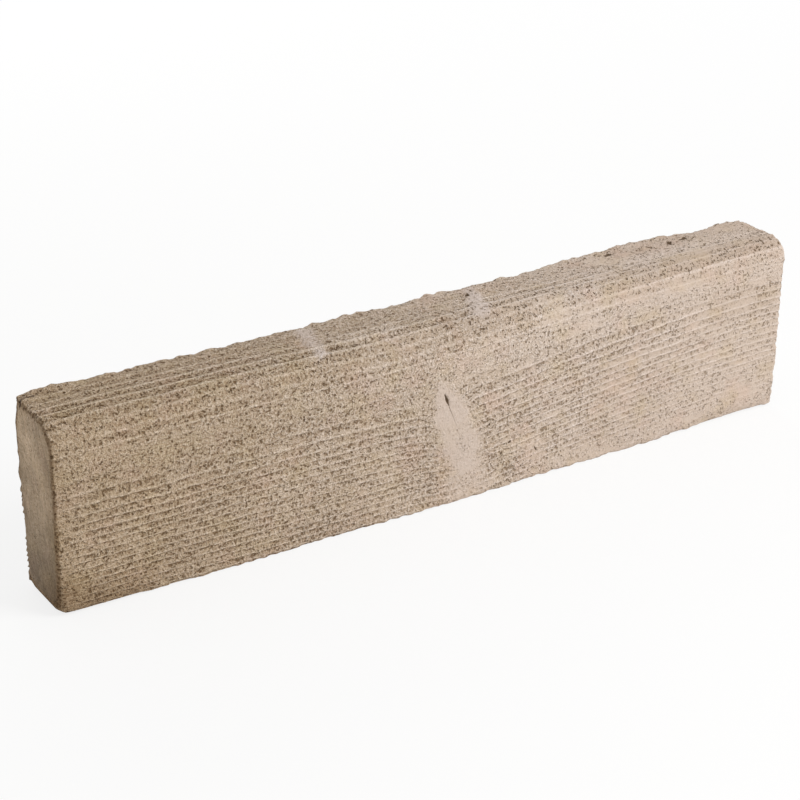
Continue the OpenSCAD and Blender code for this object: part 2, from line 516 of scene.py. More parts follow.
def nearestOf(tree, point, shapes):
    # Distance from the nearest of several drops
    nearest = dropDistance(tree, point, shapes[0])
    for shape in shapes[1:]:
        gap = dropDistance(tree, point, shape)
        nearest = addNode(tree, "ShaderNodeMath", {0: nearest, 1: gap}, operation="MINIMUM")
    return nearest


# The knots, and how fully each one smooths the ridges away
frontKnot = [
    drop((-10, -30, 102), 6, (-3, -30, 80), 14, weight=1),
    drop((-3, -30, 80), 14, (11, -30, 44), 16, weight=1),
    drop((11, -30, 44), 16, (15, -30, 31), 11, weight=1),
]
knots = frontKnot + [
    drop((13, -30, 20), 16, (16, -30, 4), 22, weight=0.5),          # calm ground under the front one
    drop((-104, 18, 153), 7, (-109, -4, 153), 6, weight=0.8),       # left one of the top
    drop((-110, -15, 152), 4, (-111, -18, 151), 4, weight=0.9),     # its tip
    drop((47, 20, 153), 5, (34, -16, 153), 8, weight=0.8),          # right one of the top
]
frontward = (1, 0.2, 1)    # how much each axis counts, so that depth hardly does
upward = (1, 1, 0.2)
# Openings: the drying crack in the front knot, then blowholes along the back of the top
openings = [
    drop((-7.6, -30, 97), 0.2, (-5, -30, 90.5), 1.3, counts=frontward),
    drop((-5, -30, 90.5), 1.3, (-3.4, -30, 86), 0.2, counts=frontward),
    drop((39, 10, 153), 1.8, (40, 12, 153), 1.6, counts=upward),
    drop((46, 16, 153), 1, (47, 18, 153), 0.8, counts=upward),
    drop((182, 21, 153), 1.2, (187, 22, 153), 1.8, counts=upward),
    drop((244, 15, 153), 2, (247, 18, 153), 1.6, counts=upward),
    drop((259, 17, 153), 1.8, (263, 18, 153), 2.2, counts=upward),
]

# What the old timber and the pour left on the blank; sizes in metres
relief = {
    "Ridge Depth": 1.3 * mm,
    "Wobble": 0.4 * mm,            # waver of the ridges
    "Wobble Size": 34 * mm,
    "Jag": 0.2 * mm,               # short steps in a ridge, from grain to grain
    "Break Size": 13 * mm,         # a ridge fades and comes back over such a length
    "Unevenness": 0.7 * mm,
    "Unevenness Size": 55 * mm,
    "Grain": 0.35 * mm,
    "Grain Size": 4.5 * mm,
    "Edge": 1.5 * mm,              # raggedness of the hewn arrises
    "Edge Size": 8 * mm,
    "Knot Rise": stone["knotRise"] * mm,
    "Opening Depth": 2.0 * mm,
    "Seed": 4.0,
}
# Each wavering field's detail, and its scale along the stone: the less, the more drawn out
wavers = {
    "Wobble": (3.0, 0.6),
    "Break": (1.0, 0.5),
    "Unevenness": (2.0, 0.8),
    "Grain": (2.0, 0.7),
    "Edge": (3.0, 1),
}
knotRagged = 2 * mm                # how far the rim of a knot strays
# Ramps of the relief: 1 and 2 are where the value starts and ends, 3 and 4 what it gives there
reliefRamps = {
    "waver": {3: -2.0, 4: 2.0},                             # noise to about -1 to 1
    "fall": {3: 0.8, 4: 0.38},                              # share of a ring, on the face and on the crown
    "step": {3: 0.2, 4: 0.42},
    "knot": {1: 4 * mm, 2: -4 * mm},
    "beside": {1: 9 * mm, 2: 0},                            # the ridges die out towards the front knot
    "opening": {1: 0.6 * mm, 2: -0.8 * mm},
    "strength": {1: -1.0, 2: 1.0, 3: 0.85, 4: 1.1},
    "broken": {1: -0.8, 2: 0.8, 3: 0.82, 4: 1.14},
    "plainEnd": {3: 1.0, 4: 0.3},
}


def grooveProfile(tree, ring, crown):
    # 0 on a crest and 1 in the groove: on the face it falls slowly and steps back out just under
    # the next crest, on the crown both sides are alike, and past 1 the steep side is the upper one
    part = addNode(tree, "ShaderNodeMath", {0: ring}, operation="FRACT")
    rest = addNode(tree, "ShaderNodeMath", {0: 1.0, 1: part}, operation="SUBTRACT")
    fallWidth = addNode(tree, "ShaderNodeMapRange", {0: crown, **reliefRamps["fall"]}, clamp=False)
    stepWidth = addNode(tree, "ShaderNodeMapRange", {0: crown, **reliefRamps["step"]}, clamp=False)
    fall = addNode(tree, "ShaderNodeMath", {0: part, 1: fallWidth}, operation="DIVIDE")
    step = addNode(tree, "ShaderNodeMath", {0: rest, 1: stepWidth}, operation="DIVIDE")
    depth = addNode(tree, "ShaderNodeMath", {0: fall, 1: step}, operation="MINIMUM")
    return addNode(tree, "ShaderNodeMath", {0: depth, 1: 1.0}, operation="MINIMUM")


def buildRelief(material):
    tree = bpy.data.node_groups.new("timberRelief", "GeometryNodeTree")
    tree.interface.new_socket("Geometry", in_out="INPUT", socket_type="NodeSocketGeometry")
    sockets = {}
    for name, value in relief.items():
        sockets[name] = tree.interface.new_socket(name, in_out="INPUT", socket_type="NodeSocketFloat")
        sockets[name].default_value = value
    tree.interface.new_socket("Geometry", in_out="OUTPUT", socket_type="NodeSocketGeometry")
    given = addNode(tree, "NodeGroupInput")
    value = {name: given.outputs[name] for name in relief}
    field = {name: addNode(tree, "GeometryNodeInputNamedAttribute", {"Name": name}, data_type="FLOAT")
             for name in ("ring", "ridged", "crown", "edge", "skin", "cap")}
    position = addNode(tree, "GeometryNodeInputPosition")
    normal = addNode(tree, "GeometryNodeInputNormal")
    seedShift = addNode(tree, "ShaderNodeCombineXYZ", {0: value["Seed"], 1: value["Seed"], 2: value["Seed"]})

    # Wavering fields of real sizes
    waver = {}
    for name, (detail, stretch) in wavers.items():
        per = addNode(tree, "ShaderNodeMath", {0: 1.0, 1: value[name + " Size"]}, operation="DIVIDE")
        scaled = addNode(tree, "ShaderNodeVectorMath", {0: position, "Scale": per}, operation="SCALE")
        drawn = addNode(tree, "ShaderNodeVectorMath", {0: scaled, 1: (stretch, 1, 1), 2: seedShift},
                        operation="MULTIPLY_ADD")
        noise = addNode(tree, "ShaderNodeTexNoise", {"Vector": drawn, "Scale": 1.0, "Detail": detail})
        waver[name] = addNode(tree, "ShaderNodeMapRange", {0: noise, **reliefRamps["waver"]}, clamp=False)

    # The rings waver
    sway = addNode(tree, "ShaderNodeMath", {0: waver["Wobble"], 1: value["Wobble"]}, operation="MULTIPLY")
    jag = addNode(tree, "ShaderNodeMath", {0: waver["Grain"], 1: value["Jag"]}, operation="MULTIPLY")
    sway = addNode(tree, "ShaderNodeMath", {0: sway, 1: jag}, operation="ADD")
    sway = addNode(tree, "ShaderNodeMath", {0: sway, 1: stone["ringPitch"] * mm}, operation="DIVIDE")
    ring = addNode(tree, "ShaderNodeMath", {0: field["ring"], 1: sway}, operation="ADD")

    # Knots with ragged rims, the ground beside the front one, and the openings
    ragged = addNode(tree, "ShaderNodeMath", {0: waver["Grain"], 1: waver["Edge"]}, operation="ADD")
    ragged = addNode(tree, "ShaderNodeMath", {0: ragged, 1: knotRagged}, operation="MULTIPLY")
    knot = 0.0
    for shape in knots:
        gap = dropDistance(tree, position, shape)
        gap = addNode(tree, "ShaderNodeMath", {0: gap, 1: ragged}, operation="ADD")
        here = addNode(tree, "ShaderNodeMapRange", {0: gap, **reliefRamps["knot"], 4: shape["weight"]},
                       interpolation_type="SMOOTHSTEP")
        knot = addNode(tree, "ShaderNodeMath", {0: knot, 1: here}, operation="MAXIMUM")
    gap = nearestOf(tree, position, frontKnot)
    beside = addNode(tree, "ShaderNodeMapRange", {0: gap, **reliefRamps["beside"]})
    gap = nearestOf(tree, position, openings)
    opening = addNode(tree, "ShaderNodeMapRange", {0: gap, **reliefRamps["opening"]},
                      interpolation_type="SMOOTHSTEP")

    # The ridges, weaker here and there
    kept = addNode(tree, "ShaderNodeMath", {0: 1.0, 1: knot}, operation="SUBTRACT")
    clear = addNode(tree, "ShaderNodeMath", {0: 1.0, 1: beside}, operation="SUBTRACT")
    strength = addNode(tree, "ShaderNodeMapRange", {0: waver["Unevenness"], **reliefRamps["strength"]})
    broken = addNode(tree, "ShaderNodeMapRange", {0: waver["Break"], **reliefRamps["broken"]})
    ridge = field["ridged"]
    for share in (strength, broken, kept, clear):
        ridge = addNode(tree, "ShaderNodeMath", {0: ridge, 1: share}, operation="MULTIPLY")
    sink = grooveProfile(tree, ring, field["crown"])
    for share in (ridge, value["Ridge Depth"]):
        sink = addNode(tree, "ShaderNodeMath", {0: sink, 1: share}, operation="MULTIPLY")

    # Grain and unevenness, less of both on the ends, then the rise of the knots and all that is lost
    plain = addNode(tree, "ShaderNodeMapRange", {0: field["cap"], **reliefRamps["plainEnd"]})
    grain = addNode(tree, "ShaderNodeMath", {0: waver["Grain"], 1: value["Grain"]}, operation="MULTIPLY")
    grain = addNode(tree, "ShaderNodeMath", {0: grain, 1: kept}, operation="MULTIPLY")
    lumps = addNode(tree, "ShaderNodeMath", {0: waver["Unevenness"], 1: value["Unevenness"]},
                    operation="MULTIPLY")
    level = addNode(tree, "ShaderNodeMath", {0: grain, 1: lumps}, operation="ADD")
    level = addNode(tree, "ShaderNodeMath", {0: level, 1: plain}, operation="MULTIPLY")
    proud = addNode(tree, "ShaderNodeMath", {0: knot, 1: value["Knot Rise"]}, operation="MULTIPLY")
    level = addNode(tree, "ShaderNodeMath", {0: level, 1: proud}, operation="ADD")
    loss = addNode(tree, "ShaderNodeMath", {0: waver["Edge"], 1: value["Edge"]}, operation="MULTIPLY")
    loss = addNode(tree, "ShaderNodeMath", {0: loss, 1: field["edge"]}, operation="MULTIPLY")
    hole = addNode(tree, "ShaderNodeMath", {0: opening, 1: value["Opening Depth"]}, operation="MULTIPLY")
    for less in (sink, loss, hole):
        level = addNode(tree, "ShaderNodeMath", {0: level, 1: less}, operation="SUBTRACT")
    level = addNode(tree, "ShaderNodeMath", {0: level, 1: field["skin"]}, operation="MULTIPLY")
    lift = addNode(tree, "ShaderNodeVectorMath", {0: normal, "Scale": level}, operation="SCALE")

    # The fields that the finish reads are kept before the surface moves
    shown = given.outputs["Geometry"]
    for name, source in (("ridge", ridge), ("knot", knot), ("ring", ring)):
        shown = addNode(tree, "GeometryNodeStoreNamedAttribute",
                        {"Geometry": shown, "Name": name, "Value": source}, data_type="FLOAT", domain="POINT")
    place = addNode(tree, "ShaderNodeVectorMath", {0: position, 1: lift}, operation="ADD")
    floor = (-1, -1, 0)    # nothing goes under the bed
    place = addNode(tree, "ShaderNodeVectorMath", {0: place, 1: floor}, operation="MAXIMUM")
    raised = addNode(tree, "GeometryNodeSetPosition", {"Geometry": shown, "Position": place})
    soft = addNode(tree, "GeometryNodeSetShadeSmooth", {"Geometry": raised})
    whole = addNode(tree, "GeometryNodeRealizeInstances", {"Geometry": soft})
    finish = addNode(tree, "GeometryNodeSetMaterial", {"Geometry": whole, "Material": material})
    addNode(tree, "NodeGroupOutput", {"Geometry": finish})
    return tree, sockets


# Marks in colour only, too fine for the mesh; their dark colour is painted shade in these hollows
fineMarks = [
    drop((-3.4, -30, 85), 0.3, (4, -30, 67), 0, counts=frontward),          # the crack runs out to a hair
    drop((-332, 20, 151), 1, (-300, 28, 153), 0.1, counts=upward),          # parting at the left end
    drop((55.6, -30, 38), 0.8, (56.6, -30, 38.8), 1.1, counts=frontward),   # small holes by the front knot
    drop((81, -30, 27.2), 0.5, (83, -30, 24.2), 0.6, counts=frontward),
    drop((35.4, -30, 60), 0.7, (36, -30, 58.8), 0.7, counts=frontward),
    drop((47.8, -30, 30.8), 0.6, (48, -30, 30), 0.6, counts=frontward),
    drop((68, -30, 14.4), 0.5, (68, -30, 13.4), 0.7, counts=frontward),
]
heartStreak = drop((5, -30, 66), 1, (11, -30, 44), 3, counts=frontward)     # rough streak in the knot
pitted = drop((36, -30, 66), 10, (48, -30, 20), 18, counts=frontward)       # thick with pits, beside it
# Broad lighter and darker patches, some of them painted shade as marked: how far each fades out, and how
# light it is against the rest
stainsAndShade = [
    # painted shade where the worn foot corner of the left end turns from the light
    drop((-332, -30, 0), 18, (-285, -30, -6), 8, fade=28, light=0.68),      # foot of the left end
    # painted shade where the left end's arris turns from the light
    drop((-338, -30, 20), 4, (-338, -30, 135), 4, fade=22, light=0.86),     # arris of the left end
    drop((-110, -30, 60), 25, (60, -30, 60), 25, fade=90, light=1.1),       # middle of the face
    # painted shade under the bulge of the rounded arris at the right end
    drop((265, -30, 106), 6, (315, -30, 106), 6, fade=16, light=0.93),      # heart band at the right end
    drop((-70, -30, 124), 6, (160, -30, 122), 8, fade=14, light=1.06),      # under the rounded arris
    # painted shade on the rounded arris at the right, which faces up, away from the key lamp
    drop((150, -23, 147), 5, (315, -20, 149), 9, fade=14, light=0.91),      # rounded arris at the right
    drop((190, 24, 153), 6, (335, 24, 153), 8, fade=22, light=0.87),        # back of the top at the right
    drop((70, 8, 153), 6, (170, 8, 153), 6, fade=14, light=0.94),           # top, right of its knots
    drop((-335, 18, 153), 4, (-320, 18, 153), 2, fade=16, light=0.86),      # back corner at the left end
    drop((-310, 2, 153), 8, (30, 2, 153), 8, fade=12, light=0.935),         # middle of the top at the left
    drop((-310, 22, 153), 5, (-120, 22, 153), 5, fade=12, light=0.92),      # back of the top at the left
    drop((-320, -25, 143), 5, (70, -23, 146), 5, fade=13, light=0.93),      # rounded arris at the left
    drop((-109, -13, 152), 3, (-114, -19, 151), 3, fade=6, light=1.15),     # tip of the left top knot
    drop((36, -12, 152), 3, (42, 4, 153), 3, fade=9, light=1.08),           # heart of the right one
    drop((-85, -11, 152), 4, (-45, -9, 153), 4, fade=10, light=1.17),       # between the two
]

# Sand-coloured wet-cast concrete: matt, gritty, pitted where air sat in the mould, pale on the crests partly
# from wear and partly as painted highlight, with painted shade in grooves, pits and openings
concrete = {
    "warm": "#c0a98e",
    "pale": "#c9b8aa",
    "pink": "#c9a794",
    "straw": "#c0a97e",
    "knot": "#c1b0a3",
    "topKnot": "#c8bab2",
    # dark colour of openings and fine marks: painted shade in their hollows
    "opening": "#645240",
    "roughness": 0.92,
    "ior": 1.5,
    "specular": 0.25,
    "grain": 2.0 * mm,          # coarse grains
    "sand": 0.9 * mm,           # fine ones, drawn a little coarse so that they show
    "grainAside": (1, 2, 3),    # keeps the coarse pattern clear of the fine one
    "pit": 2.2 * mm,
    "bubble": 2.4 * mm,         # spacing of the places where an air bubble may have sat
    "patch": 26 * mm,
    "streak": 16 * mm,          # where the face was floated smooth
    "streakScale": (0.35, 1, 1),
    "smear": 3 * mm,            # on the ends, drawn out in height and a little aslant
    "smearTurn": (-0.25, 0, 0),
    "smearStretch": (1, 1, 5),
    "knotShare": 0.7,
    "crestSpared": 0.2,         # how much less a crest is pitted
    "gritLight": 1.55,
    # painted shade in the grooves and painted highlight on the crests
    "grooveLight": -0.17,
    "crestLight": 0.4,
    "noseRings": [(0, 0.1), (3, 1.6)],    # rings from the top's second crest: the shade comes in, and fades
    "darkest": 0.08,
    "fading": (0.82, 1.0, 1.26),          # red, green and blue
    "bump": 2.0 * mm,
    "pitBump": 0.8,
}
# Ramps of the finish: 1 and 2 are where the value starts and ends, 3 and 4 what it gives there.
# Places along the stone and heights are in metres.
finishRamps = {
    "along": {1: low.x, 2: high.x},
    "right": {1: 0.45, 2: 0.85},                            # shares of the length
    "top": {1: 0.14, 2: 0.151},
    "crownGroove": {3: 1.0, 4: 0.6},                        # on the face and on the crown
    "crownCrest": {3: 1.0, 4: 1.25},
    "crestEdge": {3: 0.26, 4: 0.5},
    "floated": {1: 0.5, 2: 0.66, 4: 0.8},
    "floatedAlong": {1: 0.3, 2: 0.75, 3: 0.1, 4: 1.0},
    "frayed": {1: 2 * mm, 2: -2 * mm, 3: 1.0, 4: 0.5},      # the streak in the knot is less smooth
    "coarseAlong": {1: 0.3, 2: 0.9, 3: 0.95, 4: 0.54},
    "coarseTop": {1: 0.14, 2: 0.151, 3: 1.0, 4: 1.38},
    "coarseLow": {1: 0.085, 2: 0.1, 3: 0.92, 4: 1.0},
    "calmFloated": {3: 1.0, 4: 0.2},
    "calmKnot": {3: 1.0, 4: 0.3},
    "calmEnd": {3: 1.0, 4: 0.45},
    "pitLimit": {3: 0.375, 4: 0.475},                       # on a flat and in a groove
    "pitRim": {1: 0.0, 2: 0.1},
    "bubbleChance": {3: 0.22, 4: 0.5},
    "bubbleMore": {1: 8 * mm, 2: -8 * mm, 4: 0.3},
    "bubbleRadius": {3: 0.25, 4: 0.6},                      # shares of the spacing
    "bubbleRim": {1: 0.0, 2: 0.25},
    "pitRight": {3: 1.0, 4: 1.1},
    "pitTop": {3: 1.0, 4: 1.17},
    "gritRight": {3: 1.0, 4: 0.64},
    "gritTop": {3: 1.0, 4: 0.82},
    "tone": {1: -0.28, 2: 0.2},
    "toneDrift": {3: -0.25, 4: 0.25},
    "blotch": {1: 0.52, 2: 0.72, 4: 0.28},
    "topKnot": {4: 0.6},
    "endHeight": {1: 0.02, 2: 0.12, 3: 0.57, 4: 0.97},      # the ends are darker towards the foot
    "smear": {1: 0.7, 2: 1.3, 3: 0.68, 4: 1.32},
    "noseCrown": {1: 1.0, 2: 1.6},
    "noseLight": {3: 1.0, 4: 0.91},
    # painted shadow line along the left end's arris
    "arris": {1: 2.2 * mm, 2: 0.8 * mm},
    "arrisLight": {3: 1.0, 4: 0.55},
    "pitLight": {3: 1.0, 4: 0.36},
    "opening": {1: 0.3 * mm, 2: -0.2 * mm},
}


def surfaceFields(tree):
    # Where a point lies on the stone, and what the relief has there
    at = {"spot": addNode(tree, "ShaderNodeTexCoord").outputs["Object"]}
    axes = addNode(tree, "ShaderNodeSeparateXYZ", {0: at["spot"]})
    at["x"] = axes.outputs[0]
    at["z"] = axes.outputs[2]
    for name in ("ring", "ridge", "knot", "cap", "crown"):
        at[name] = addNode(tree, "ShaderNodeAttribute", attribute_name=name).outputs["Fac"]
    at["along"] = addNode(tree, "ShaderNodeMapRange", {0: at["x"], **finishRamps["along"]})
    at["right"] = addNode(tree, "ShaderNodeMapRange", {0: at["along"], **finishRamps["right"]})
    at["top"] = addNode(tree, "ShaderNodeMapRange", {0: at["z"], **finishRamps["top"]})
    profile = grooveProfile(tree, at["ring"], at["crown"])
    crestEdge = addNode(tree, "ShaderNodeMapRange", {0: at["crown"], **finishRamps["crestEdge"]})
    crest = addNode(tree, "ShaderNodeMapRange", {0: profile, 1: crestEdge, 2: 0.0})
    for name, part, ramp in (("groove", profile, "crownGroove"), ("crest", crest, "crownCrest")):
        share = addNode(tree, "ShaderNodeMapRange", {0: at["crown"], **finishRamps[ramp]})
        part = addNode(tree, "ShaderNodeMath", {0: part, 1: at["ridge"]}, operation="MULTIPLY")
        at[name] = addNode(tree, "ShaderNodeMath", {0: part, 1: share}, operation="MULTIPLY")
    return at


def coarseness(tree, at):
    # Roughest at the left, floated smooth in streaks towards the right, and calm on knots and ends
    streaks = addNode(tree, "ShaderNodeVectorMath", {0: at["spot"], 1: concrete["streakScale"]},
                      operation="MULTIPLY")
    floated = addNode(tree, "ShaderNodeTexNoise", {
        "Vector": streaks, "Scale": 1 / concrete["streak"], "Detail": 2.0})
    floated = addNode(tree, "ShaderNodeMapRange", {0: floated, **finishRamps["floated"]})
    reach = addNode(tree, "ShaderNodeMapRange", {0: at["along"], **finishRamps["floatedAlong"]})
    floated = addNode(tree, "ShaderNodeMath", {0: floated, 1: reach}, operation="MULTIPLY")
    gap = dropDistance(tree, at["spot"], heartStreak)
    frayed = addNode(tree, "ShaderNodeMapRange", {0: gap, **finishRamps["frayed"]})
    smoothKnot = addNode(tree, "ShaderNodeMath", {0: at["knot"], 1: frayed}, operation="MULTIPLY")
    coarse = addNode(tree, "ShaderNodeMapRange", {0: at["along"], **finishRamps["coarseAlong"]})
    for source, ramp in ((at["z"], "coarseTop"), (at["z"], "coarseLow"), (floated, "calmFloated"),
                         (smoothKnot, "calmKnot"), (at["cap"], "calmEnd")):
        share = addNode(tree, "ShaderNodeMapRange", {0: source, **finishRamps[ramp]})
        coarse = addNode(tree, "ShaderNodeMath", {0: coarse, 1: share}, operation="MULTIPLY")
    return coarse


def pits(tree, at, coarse):
    # Ragged pits between the grains, thickest in the grooves
    rough = addNode(tree, "ShaderNodeTexNoise", {
        "Vector": at["spot"], "Scale": 1 / concrete["pit"], "Detail": 1.0, "Roughness": 0.6})
    spared = addNode(tree, "ShaderNodeMath", {0: at["crest"], 1: concrete["crestSpared"]},
                     operation="MULTIPLY")
    under = addNode(tree, "ShaderNodeMapRange", {0: at["groove"], **finishRamps["pitLimit"]})
    for less in (spared, rough):
        under = addNode(tree, "ShaderNodeMath", {0: under, 1: less}, operation="SUBTRACT")
    pit = addNode(tree, "ShaderNodeMapRange", {0: under, **finishRamps["pitRim"]})

    # Rounder ones where air sat; each cell of the pattern draws lots for its bubble and its size
    cells = addNode(tree, "ShaderNodeTexVoronoi", {"Vector": at["spot"], "Scale": 1 / concrete["bubble"]})
    lot = addNode(tree, "ShaderNodeSeparateColor", {0: cells.outputs["Color"]})
    chance = addNode(tree, "ShaderNodeMapRange", {0: at["groove"], **finishRamps["bubbleChance"]})
    gap = dropDistance(tree, at["spot"], pitted)
    more = addNode(tree, "ShaderNodeMapRange", {0: gap, **finishRamps["bubbleMore"]})
    chance = addNode(tree, "ShaderNodeMath", {0: chance, 1: more}, operation="ADD")
    for less in (lot.outputs[0], spared):
        chance = addNode(tree, "ShaderNodeMath", {0: chance, 1: less}, operation="SUBTRACT")
    there = addNode(tree, "ShaderNodeMapRange", {0: chance, **finishRamps["pitRim"]})
    radius = addNode(tree, "ShaderNodeMapRange", {0: lot.outputs[1], **finishRamps["bubbleRadius"]})
    depth = addNode(tree, "ShaderNodeMath", {0: radius, 1: cells.outputs["Distance"]}, operation="SUBTRACT")
    bubble = addNode(tree, "ShaderNodeMapRange", {0: depth, **finishRamps["bubbleRim"]})
    bubble = addNode(tree, "ShaderNodeMath", {0: bubble, 1: there}, operation="MULTIPLY")
    pit = addNode(tree, "ShaderNodeMath", {0: pit, 1: bubble}, operation="MAXIMUM")

    # They stand out more to the right and on the top
    for place, ramp in (("right", "pitRight"), ("top", "pitTop")):
        share = addNode(tree, "ShaderNodeMapRange", {0: at[place], **finishRamps[ramp]})
        pit = addNode(tree, "ShaderNodeMath", {0: pit, 1: share}, operation="MULTIPLY")
    return addNode(tree, "ShaderNodeMath", {0: pit, 1: coarse}, operation="MULTIPLY", use_clamp=True)


def grains(tree, at, coarse):
    # Sand of two sizes, about zero; less of it to the right and on the top
    aside = addNode(tree, "ShaderNodeVectorMath", {0: at["spot"], 1: concrete["grainAside"]}, operation="ADD")
    grit = addNode(tree, "ShaderNodeTexNoise", {
        "Vector": aside, "Scale": 1 / concrete["grain"], "Detail": 1.0})
    fine = addNode(tree, "ShaderNodeTexNoise", {
        "Vector": at["spot"], "Scale": 1 / concrete["sand"], "Detail": 1.0})
    grit = addNode(tree, "ShaderNodeMath", {0: grit, 1: fine}, operation="ADD")
    grit = addNode(tree, "ShaderNodeMath", {0: grit, 1: 1.0}, operation="SUBTRACT")
    grit = addNode(tree, "ShaderNodeMath", {0: grit, 1: coarse}, operation="MULTIPLY")
    for place, ramp in (("right", "gritRight"), ("top", "gritTop")):
        share = addNode(tree, "ShaderNodeMapRange", {0: at[place], **finishRamps[ramp]})
        grit = addNode(tree, "ShaderNodeMath", {0: grit, 1: share}, operation="MULTIPLY")
    return grit


def groundColour(tree, at):
    # Warm at the left, paler to the right, with pink and straw blotches and pale knots
    patch = addNode(tree, "ShaderNodeTexNoise", {
        "Vector": at["spot"], "Scale": 1 / concrete["patch"], "Detail": 4.0})
    tints = addNode(tree, "ShaderNodeSeparateColor", {0: patch.outputs["Color"]})
    drift = addNode(tree, "ShaderNodeMapRange", {0: patch, **finishRamps["toneDrift"]})
    tone = addNode(tree, "ShaderNodeMapRange", {0: at["x"], **finishRamps["tone"]})
    tone = addNode(tree, "ShaderNodeMath", {0: tone, 1: drift}, operation="ADD", use_clamp=True)
    pink = addNode(tree, "ShaderNodeMapRange", {0: tints.outputs[1], **finishRamps["blotch"]})
    straw = addNode(tree, "ShaderNodeMapRange", {0: tints.outputs[2], **finishRamps["blotch"]})
    knot = addNode(tree, "ShaderNodeMath", {0: at["knot"], 1: concrete["knotShare"]}, operation="MULTIPLY")
    onCrown = addNode(tree, "ShaderNodeMapRange", {0: at["crown"], **finishRamps["topKnot"]})
    topKnot = addNode(tree, "ShaderNodeMath", {0: at["knot"], 1: onCrown}, operation="MULTIPLY")
    colour = hexColour(concrete["warm"])
    for share, name in ((tone, "pale"), (pink, "pink"), (straw, "straw"), (knot, "knot"),
                        (topKnot, "topKnot")):
        mixed = addNode(tree, "ShaderNodeMix", {0: share, 6: colour, 7: hexColour(concrete[name])},
                        data_type="RGBA")
        colour = mixed.outputs[2]

    # The ends are smeared, and darker towards the foot
    smear = addNode(tree, "ShaderNodeMapping", {
        "Vector": at["spot"], "Rotation": concrete["smearTurn"], "Scale": concrete["smearStretch"]},
        vector_type="TEXTURE")
    smear = addNode(tree, "ShaderNodeTexNoise", {
        "Vector": smear, "Scale": 1 / concrete["smear"], "Detail": 3.0, "Roughness": 0.6})
    smear = addNode(tree, "ShaderNodeMath", {0: smear, 1: tints.outputs[0]}, operation="ADD")
    smear = addNode(tree, "ShaderNodeMapRange", {0: smear, **finishRamps["smear"]})
    height = addNode(tree, "ShaderNodeMapRange", {0: at["z"], **finishRamps["endHeight"]})
    smear = addNode(tree, "ShaderNodeMath", {0: smear, 1: height}, operation="MULTIPLY")
    endColour = addNode(tree, "ShaderNodeVectorMath", {0: colour, "Scale": smear}, operation="SCALE")
    mixed = addNode(tree, "ShaderNodeMix", {0: at["cap"], 6: colour, 7: endColour}, data_type="RGBA")
    return mixed.outputs[2]


def lightness(tree, at, grit, pit):
    shares = []
    # lighter and darker patches, some of them painted shade
    for toneSpot in stainsAndShade:
        gap = dropDistance(tree, at["spot"], toneSpot)
        shares.append(addNode(tree, "ShaderNodeMapRange", {
            0: gap, 1: toneSpot["fade"] * mm, 2: 0, 3: 1.0, 4: toneSpot["light"]}, interpolation_type="SMOOTHSTEP"))

    # Painted shade: at the right the top is darker from its second crest on, for two rings or so, where it
    # faces up, away from the key lamp
    secondCrest = len(crestLines()) - len(stone["topWeights"]) + 1
    shade = addNode(tree, "ShaderNodeMapRange", {0: at["crown"], **finishRamps["noseCrown"]})
    for start, full in concrete["noseRings"]:
        part = addNode(tree, "ShaderNodeMapRange", {
            0: at["ring"], 1: secondCrest + start, 2: secondCrest + full})
        shade = addNode(tree, "ShaderNodeMath", {0: shade, 1: part}, operation="MULTIPLY")
    shares.append(addNode(tree, "ShaderNodeMapRange", {0: shade, **finishRamps["noseLight"]}))

    # Painted shadow line along the left end's arris, where the front turns to the end
    fromEnd = addNode(tree, "ShaderNodeMath", {0: at["x"], 1: low.x}, operation="SUBTRACT")
    arris = addNode(tree, "ShaderNodeMapRange", {0: fromEnd, **finishRamps["arris"]})
    unCapped = addNode(tree, "ShaderNodeMath", {0: 1.0, 1: at["cap"]}, operation="SUBTRACT")
    arris = addNode(tree, "ShaderNodeMath", {0: arris, 1: unCapped}, operation="MULTIPLY")
    shares.append(addNode(tree, "ShaderNodeMapRange", {0: arris, **finishRamps["arrisLight"]}))

    light = addNode(tree, "ShaderNodeMath", {0: grit, 1: concrete["gritLight"], 2: 1.0},
                    operation="MULTIPLY_ADD")
    for share in shares:
        light = addNode(tree, "ShaderNodeMath", {0: light, 1: share}, operation="MULTIPLY")
    # painted shade in the grooves and painted highlight on the crests, whose paleness is partly wear
    for name, change in (("groove", concrete["grooveLight"]), ("crest", concrete["crestLight"])):
        light = addNode(tree, "ShaderNodeMath", {0: at[name], 1: change, 2: light}, operation="MULTIPLY_ADD")
    # painted shade in the pits, with some dirt
    shade = addNode(tree, "ShaderNodeMapRange", {0: pit, **finishRamps["pitLight"]})
    light = addNode(tree, "ShaderNodeMath", {0: light, 1: shade}, operation="MULTIPLY")
    return addNode(tree, "ShaderNodeMath", {0: light, 1: concrete["darkest"]}, operation="MAXIMUM")


